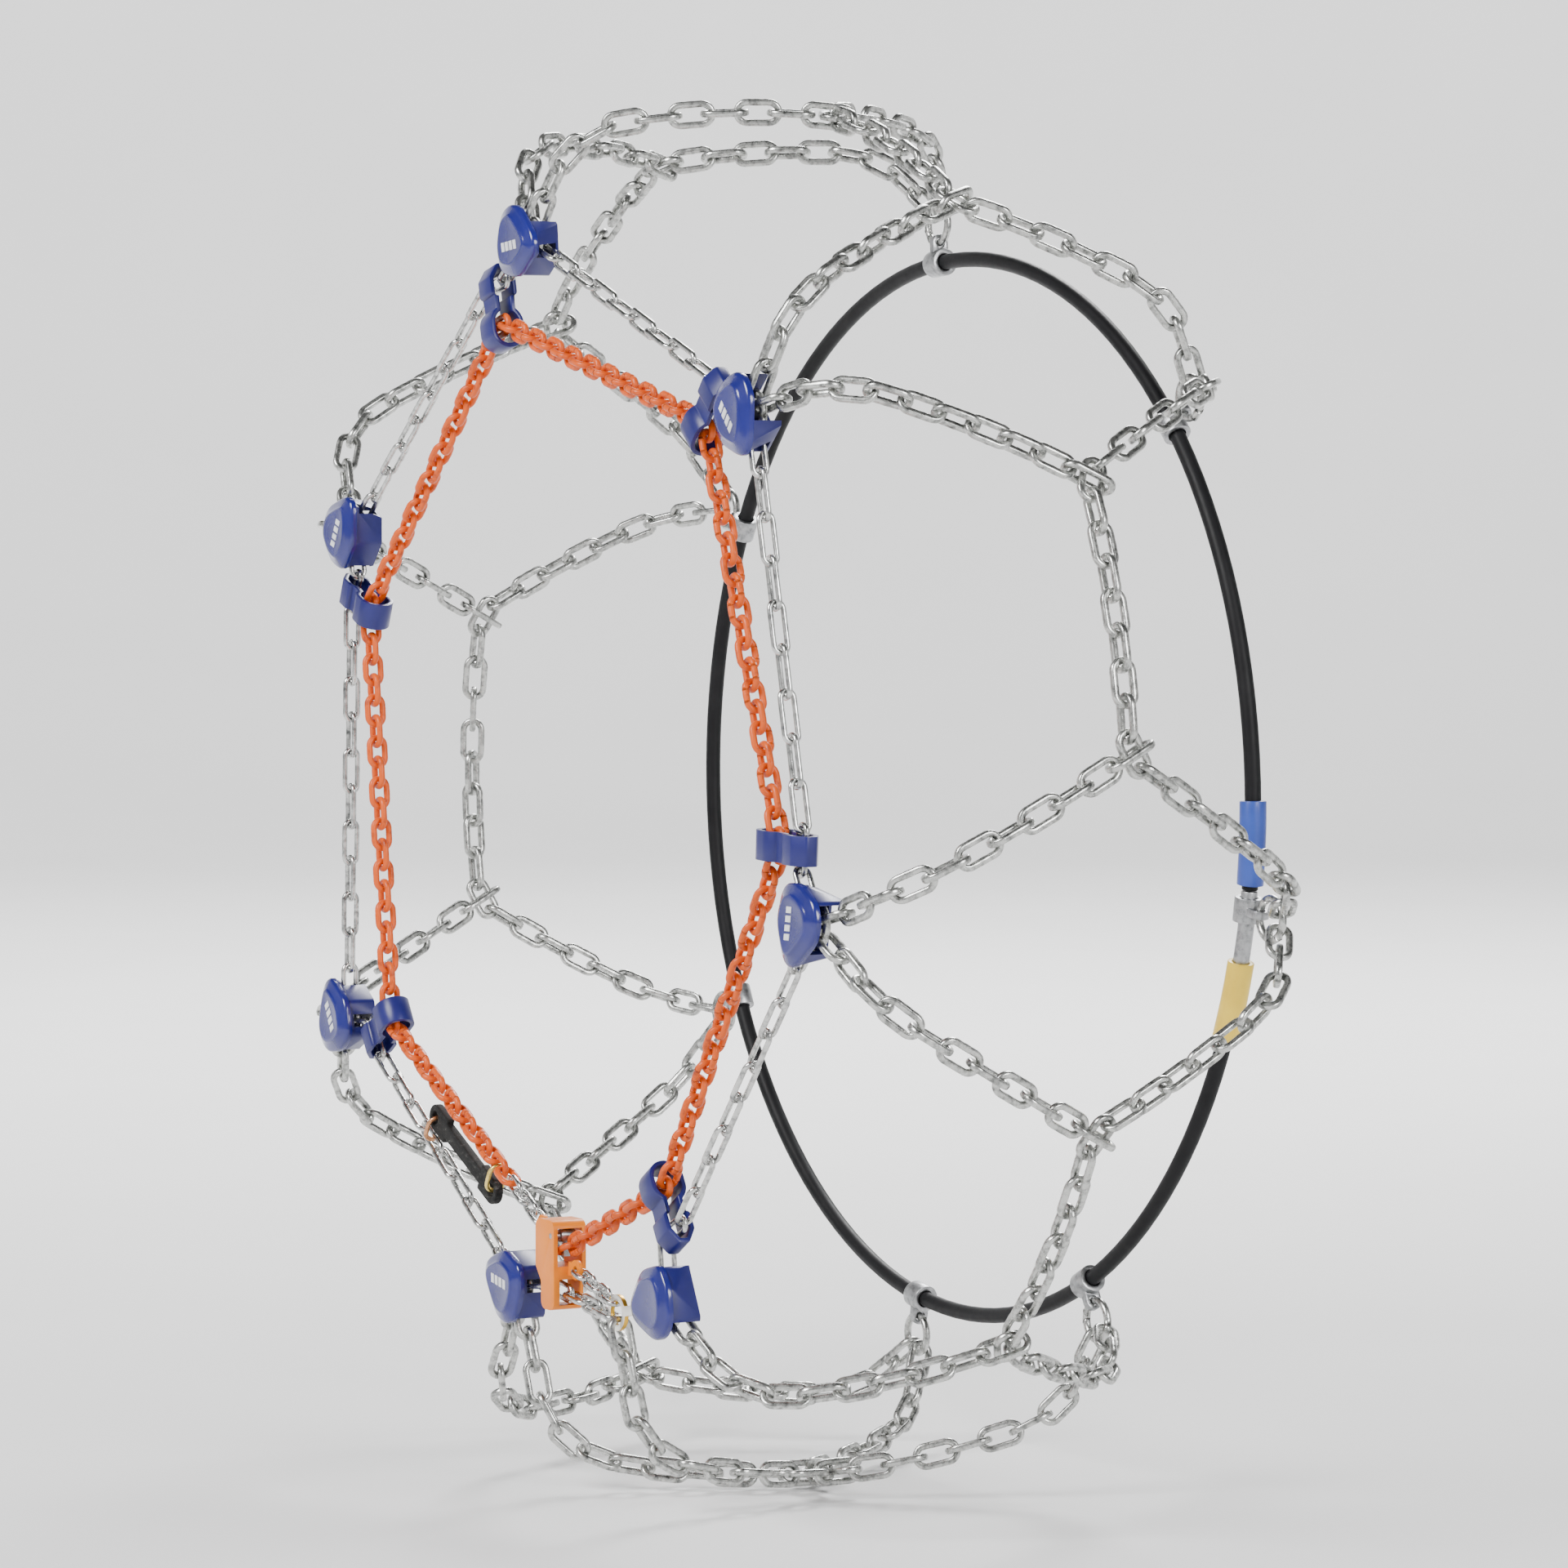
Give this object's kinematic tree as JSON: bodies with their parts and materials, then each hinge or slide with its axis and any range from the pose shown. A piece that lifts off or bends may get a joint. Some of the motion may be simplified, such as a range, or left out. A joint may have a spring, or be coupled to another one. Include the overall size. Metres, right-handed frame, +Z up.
{
  "type": "snow chain",
  "caption": "Ladderless tyre snow chain with a cell net over the tread, outer connectors, tension chain with lock, closing hook and rubber strap, and a rear hoop.",
  "frame": {"origin": "centre of the wheel the chain is fitted to, in the tyre's middle plane", "axes": "Y is the wheel's axle and the outer side of the wheel faces -Y; +Z is up; +X completes the frame"},
  "size_m": [0.7022, 0.2565, 0.699],
  "materials": {
    "tread_chain": "bright galvanised, slightly rough",
    "side_chain": "bright galvanised",
    "coated_chain": "glossy orange-red powder coat",
    "connector_body": "moulded, semi-gloss",
    "connector_cover": "moulded, glossy",
    "guide": "moulded, semi-gloss",
    "lock": "moulded amber-orange, semi-gloss",
    "plain_steel": "zinc plated",
    "plated_steel": "yellow zinc plated",
    "strap_rubber": "matt, a little worn",
    "hoop_sheath": "smooth cable sheath",
    "blue_sleeve": "moulded",
    "yellow_sleeve": "moulded"
  },
  "bodies": {
    "side_assembly": {"junction_links": "tread_chain", "side_chain": "side_chain", "tension_chain": "coated_chain", "lock_chains": "side_chain", "outer_rings": "tread_chain", "connector_blocks": "connector_body", "connector_caps": "connector_cover", "lock_body": "lock", "lock_pin": "plain_steel", "strap_fittings": "plated_steel", "hoop_cable": "hoop_sheath", "hoop_coupling": "plain_steel", "hoop_blue_sleeve": "blue_sleeve", "hoop_yellow_sleeve": "yellow_sleeve", "inner_rings": "tread_chain", "inner_lugs": "plain_steel"},
    "outer_diagonal_1_body": {"outer_diagonal_1": "tread_chain"},
    "inner_diagonal_1_body": {"inner_diagonal_1": "tread_chain"},
    "outer_diagonal_2_body": {"outer_diagonal_2": "tread_chain"},
    "inner_diagonal_2_body": {"inner_diagonal_2": "tread_chain"},
    "outer_diagonal_3_body": {"outer_diagonal_3": "tread_chain"},
    "inner_diagonal_3_body": {"inner_diagonal_3": "tread_chain"},
    "outer_diagonal_4_body": {"outer_diagonal_4": "tread_chain"},
    "inner_diagonal_4_body": {"inner_diagonal_4": "tread_chain"},
    "outer_diagonal_5_body": {"outer_diagonal_5": "tread_chain"},
    "inner_diagonal_5_body": {"inner_diagonal_5": "tread_chain"},
    "outer_diagonal_6_body": {"outer_diagonal_6": "tread_chain"},
    "inner_diagonal_6_body": {"inner_diagonal_6": "tread_chain"},
    "outer_diagonal_7_body": {"outer_diagonal_7": "tread_chain"},
    "inner_diagonal_7_body": {"inner_diagonal_7": "tread_chain"},
    "outer_diagonal_8_body": {"outer_diagonal_8": "tread_chain"},
    "inner_diagonal_8_body": {"inner_diagonal_8": "tread_chain"},
    "outer_diagonal_9_body": {"outer_diagonal_9": "tread_chain"},
    "inner_diagonal_9_body": {"inner_diagonal_9": "tread_chain"},
    "outer_diagonal_10_body": {"outer_diagonal_10": "tread_chain"},
    "inner_diagonal_10_body": {"inner_diagonal_10": "tread_chain"},
    "outer_diagonal_11_body": {"outer_diagonal_11": "tread_chain"},
    "inner_diagonal_11_body": {"inner_diagonal_11": "tread_chain"},
    "outer_diagonal_12_body": {"outer_diagonal_12": "tread_chain"},
    "inner_diagonal_12_body": {"inner_diagonal_12": "tread_chain"},
    "outer_diagonal_13_body": {"outer_diagonal_13": "tread_chain"},
    "inner_diagonal_13_body": {"inner_diagonal_13": "tread_chain"},
    "outer_diagonal_14_body": {"outer_diagonal_14": "tread_chain"},
    "inner_diagonal_14_body": {"inner_diagonal_14": "tread_chain"},
    "centre_chain_1_body": {"centre_chain_1": "tread_chain"},
    "centre_chain_2_body": {"centre_chain_2": "tread_chain"},
    "centre_chain_3_body": {"centre_chain_3": "tread_chain"},
    "centre_chain_4_body": {"centre_chain_4": "tread_chain"},
    "centre_chain_5_body": {"centre_chain_5": "tread_chain"},
    "centre_chain_6_body": {"centre_chain_6": "tread_chain"},
    "centre_chain_7_body": {"centre_chain_7": "tread_chain"},
    "guide_1_body": {"guide_1": "guide"},
    "guide_2_body": {"guide_2": "guide"},
    "guide_3_body": {"guide_3": "guide"},
    "guide_4_body": {"guide_4": "guide"},
    "guide_5_body": {"guide_5": "guide"},
    "guide_6_body": {"guide_6": "guide"},
    "catch": {"lock_pawl": "plain_steel"},
    "hook": {"closing_hook": "plated_steel"},
    "strap": {"tension_strap": "strap_rubber"}
  },
  "joints": [
    {"name": "outer_diagonal_1_sway", "type": "hinge", "parent": "side_assembly", "child": "outer_diagonal_1_body", "pos_m": [0.06995, 0.006, -0.33779], "axis": [-0.0037, -0.8328, 0.5536], "range_deg": [-3, 3]},
    {"name": "inner_diagonal_1_sway", "type": "hinge", "parent": "side_assembly", "child": "inner_diagonal_1_body", "pos_m": [0.07648, 0.01081, -0.33627], "axis": [0.4034, 0.7772, 0.483], "range_deg": [-6, 6]},
    {"name": "outer_diagonal_2_sway", "type": "hinge", "parent": "side_assembly", "child": "outer_diagonal_2_body", "pos_m": [0.23216, 0.006, -0.25514], "axis": [-0.6401, -0.7654, 0.0669], "range_deg": [-6, 6]},
    {"name": "inner_diagonal_2_sway", "type": "hinge", "parent": "side_assembly", "child": "inner_diagonal_2_body", "pos_m": [0.2271, 0.01081, -0.25953], "axis": [-0.6279, 0.7772, -0.0425], "range_deg": [-6, 6]},
    {"name": "outer_diagonal_3_sway", "type": "hinge", "parent": "side_assembly", "child": "outer_diagonal_3_body", "pos_m": [0.31187, 0.006, -0.14742], "axis": [-0.24, -0.7687, 0.5929], "range_deg": [-6, 6]},
    {"name": "inner_diagonal_3_sway", "type": "hinge", "parent": "side_assembly", "child": "inner_diagonal_3_body", "pos_m": [0.31459, 0.01081, -0.1413], "axis": [-0.143, 0.7772, 0.6128], "range_deg": [-6, 6]},
    {"name": "outer_diagonal_4_sway", "type": "hinge", "parent": "side_assembly", "child": "outer_diagonal_4_body", "pos_m": [0.34348, 0.006, 0.03186], "axis": [-0.4283, -0.7687, -0.4751], "range_deg": [-6, 6]},
    {"name": "inner_diagonal_4_sway", "type": "hinge", "parent": "side_assembly", "child": "inner_diagonal_4_body", "pos_m": [0.34394, 0.01081, 0.02518], "axis": [-0.3439, 0.7772, -0.527], "range_deg": [-6, 6]},
    {"name": "outer_diagonal_5_sway", "type": "hinge", "parent": "side_assembly", "child": "outer_diagonal_5_body", "pos_m": [0.30681, 0.006, 0.15768], "axis": [-0.5857, -0.7823, 0.2118], "range_deg": [-6, 6]},
    {"name": "inner_diagonal_5_sway", "type": "hinge", "parent": "side_assembly", "child": "inner_diagonal_5_body", "pos_m": [0.30361, 0.01081, 0.16356], "axis": [-0.5732, 0.7772, 0.2597], "range_deg": [-6, 6]},
    {"name": "outer_diagonal_6_sway", "type": "hinge", "parent": "side_assembly", "child": "outer_diagonal_6_body", "pos_m": [0.18382, 0.006, 0.2919], "axis": [0.16, -0.7824, -0.6019], "range_deg": [-6, 6]},
    {"name": "inner_diagonal_6_sway", "type": "hinge", "parent": "side_assembly", "child": "inner_diagonal_6_body", "pos_m": [0.1894, 0.01081, 0.2882], "axis": [0.2087, 0.7772, -0.5937], "range_deg": [-6, 6]},
    {"name": "outer_diagonal_7_sway", "type": "hinge", "parent": "side_assembly", "child": "outer_diagonal_7_body", "pos_m": [0.06168, 0.006, 0.3394], "axis": [-0.5246, -0.7824, -0.3357], "range_deg": [-6, 6]},
    {"name": "inner_diagonal_7_sway", "type": "hinge", "parent": "side_assembly", "child": "inner_diagonal_7_body", "pos_m": [0.05506, 0.01081, 0.34044], "axis": [-0.555, 0.7772, -0.2967], "range_deg": [-6, 6]},
    {"name": "outer_diagonal_8_sway", "type": "hinge", "parent": "side_assembly", "child": "outer_diagonal_8_body", "pos_m": [-0.11968, 0.006, 0.32353], "axis": [0.5749, -0.7824, -0.2395], "range_deg": [-6, 6]},
    {"name": "inner_diagonal_8_sway", "type": "hinge", "parent": "side_assembly", "child": "inner_diagonal_8_body", "pos_m": [-0.11334, 0.01081, 0.3257], "axis": [0.5981, 0.7772, -0.1958], "range_deg": [-6, 6]},
    {"name": "outer_diagonal_9_sway", "type": "hinge", "parent": "side_assembly", "child": "outer_diagonal_9_body", "pos_m": [-0.24477, 0.006, 0.24307], "axis": [0.0283, -0.7687, -0.639], "range_deg": [-6, 6]},
    {"name": "inner_diagonal_9_sway", "type": "hinge", "parent": "side_assembly", "child": "inner_diagonal_9_body", "pos_m": [-0.24937, 0.01081, 0.23821], "axis": [-0.0698, 0.7772, -0.6254], "range_deg": [-6, 6]},
    {"name": "outer_diagonal_10_sway", "type": "hinge", "parent": "side_assembly", "child": "outer_diagonal_10_body", "pos_m": [-0.33442, 0.006, 0.08462], "axis": [0.5624, -0.7687, 0.3048], "range_deg": [-6, 6]},
    {"name": "inner_diagonal_10_sway", "type": "hinge", "parent": "side_assembly", "child": "inner_diagonal_10_body", "pos_m": [-0.33262, 0.01081, 0.09107], "axis": [0.5001, 0.7772, 0.382], "range_deg": [-6, 6]},
    {"name": "outer_diagonal_11_sway", "type": "hinge", "parent": "side_assembly", "child": "outer_diagonal_11_body", "pos_m": [-0.33717, 0.006, -0.0729], "axis": [0.5247, -0.778, -0.3455], "range_deg": [-6, 6]},
    {"name": "inner_diagonal_11_sway", "type": "hinge", "parent": "side_assembly", "child": "inner_diagonal_11_body", "pos_m": [-0.33559, 0.01081, -0.07941], "axis": [0.4865, 0.7772, -0.3992], "range_deg": [-6, 6]},
    {"name": "outer_diagonal_12_sway", "type": "hinge", "parent": "side_assembly", "child": "outer_diagonal_12_body", "pos_m": [-0.25311, 0.006, -0.23438], "axis": [0.0179, -0.778, 0.628], "range_deg": [-6, 6]},
    {"name": "inner_diagonal_12_sway", "type": "hinge", "parent": "side_assembly", "child": "inner_diagonal_12_body", "pos_m": [-0.25754, 0.01081, -0.22936], "axis": [-0.048, 0.7772, 0.6275], "range_deg": [-6, 6]},
    {"name": "outer_diagonal_13_sway", "type": "hinge", "parent": "side_assembly", "child": "outer_diagonal_13_body", "pos_m": [-0.14195, 0.006, -0.31439], "axis": [0.5805, -0.735, 0.3504], "range_deg": [-6, 6]},
    {"name": "inner_diagonal_13_sway", "type": "hinge", "parent": "side_assembly", "child": "inner_diagonal_13_body", "pos_m": [-0.13579, 0.01081, -0.317], "axis": [0.6103, 0.7772, 0.1536], "range_deg": [-6, 6]},
    {"name": "outer_diagonal_14_sway", "type": "hinge", "parent": "side_assembly", "child": "outer_diagonal_14_body", "pos_m": [0.03785, 0.006, -0.34287], "axis": [-0.4438, -0.735, 0.5126], "range_deg": [-6, 6]},
    {"name": "inner_diagonal_14_sway", "type": "hinge", "parent": "side_assembly", "child": "inner_diagonal_14_body", "pos_m": [0.03118, 0.01081, -0.34345], "axis": [-0.5329, 0.7772, 0.3347], "range_deg": [-6, 6]},
    {"name": "centre_chain_1_sway", "type": "hinge", "parent": "side_assembly", "child": "centre_chain_1_body", "pos_m": [0.23804, 0.00359, -0.2497], "axis": [0.5948, 0, 0.8039], "range_deg": [-8, 8]},
    {"name": "centre_chain_2_sway", "type": "hinge", "parent": "side_assembly", "child": "centre_chain_2_body", "pos_m": [0.34268, 0.00359, 0.03984], "axis": [-0.2798, 0, 0.96], "range_deg": [-8, 8]},
    {"name": "centre_chain_3_sway", "type": "hinge", "parent": "side_assembly", "child": "centre_chain_3_body", "pos_m": [0.177, 0.00359, 0.29612], "axis": [-0.932, 0, 0.3624], "range_deg": [-8, 8]},
    {"name": "centre_chain_4_sway", "type": "hinge", "parent": "side_assembly", "child": "centre_chain_4_body", "pos_m": [-0.12717, 0.00359, 0.32069], "axis": [-0.841, 0, -0.541], "range_deg": [-8, 8]},
    {"name": "centre_chain_5_sway", "type": "hinge", "parent": "side_assembly", "child": "centre_chain_5_body", "pos_m": [-0.33632, 0.00359, 0.07684], "axis": [-0.0174, 0, -0.9998], "range_deg": [-8, 8]},
    {"name": "centre_chain_6_sway", "type": "hinge", "parent": "side_assembly", "child": "centre_chain_6_body", "pos_m": [-0.24761, 0.00359, -0.24021], "axis": [0.8116, 0, -0.5843], "range_deg": [-8, 8]},
    {"name": "centre_chain_7_sway", "type": "hinge", "parent": "side_assembly", "child": "centre_chain_7_body", "pos_m": [0.04581, 0.00359, -0.34193], "axis": [0.9877, 0, 0.1564], "range_deg": [-10, 10]},
    {"name": "guide_1_slide", "type": "slide", "parent": "side_assembly", "child": "guide_1_body", "axis": [0.848, 0, 0.5299], "range_m": [-0.0005, 0.0025]},
    {"name": "guide_2_slide", "type": "slide", "parent": "side_assembly", "child": "guide_2_body", "axis": [0.0523, 0, 0.9986], "range_m": [-0.0005, 0.0025]},
    {"name": "guide_3_slide", "type": "slide", "parent": "side_assembly", "child": "guide_3_body", "axis": [-0.7547, 0, 0.6561], "range_m": [-0.0005, 0.0025]},
    {"name": "guide_4_slide", "type": "slide", "parent": "side_assembly", "child": "guide_4_body", "axis": [-0.9703, 0, -0.2419], "range_m": [-0.0005, 0.0025]},
    {"name": "guide_5_slide", "type": "slide", "parent": "side_assembly", "child": "guide_5_body", "axis": [-0.3907, 0, -0.9205], "range_m": [-0.0005, 0.0025]},
    {"name": "guide_6_slide", "type": "slide", "parent": "side_assembly", "child": "guide_6_body", "axis": [0.5446, 0, -0.8387], "range_m": [-0.0005, 0.0025]},
    {"name": "catch_swing", "type": "hinge", "parent": "side_assembly", "child": "catch", "pos_m": [0.0115, -0.118, -0.2178], "axis": [0, -1, 0], "range_deg": [0, 17], "stiffness_Nm_per_rad": 0.05, "springref_deg": -11.46},
    {"name": "hook_swing", "type": "hinge", "parent": "side_assembly", "child": "hook", "pos_m": [0.068, -0.118, -0.25], "axis": [0, 1, 0], "range_deg": [0, 35]},
    {"name": "strap_twist", "type": "hinge", "parent": "side_assembly", "child": "strap", "pos_m": [-0.07071, -0.118, -0.20349], "axis": [-0.9001, 0, 0.4357], "range_deg": [-5, 5]}
  ]
}
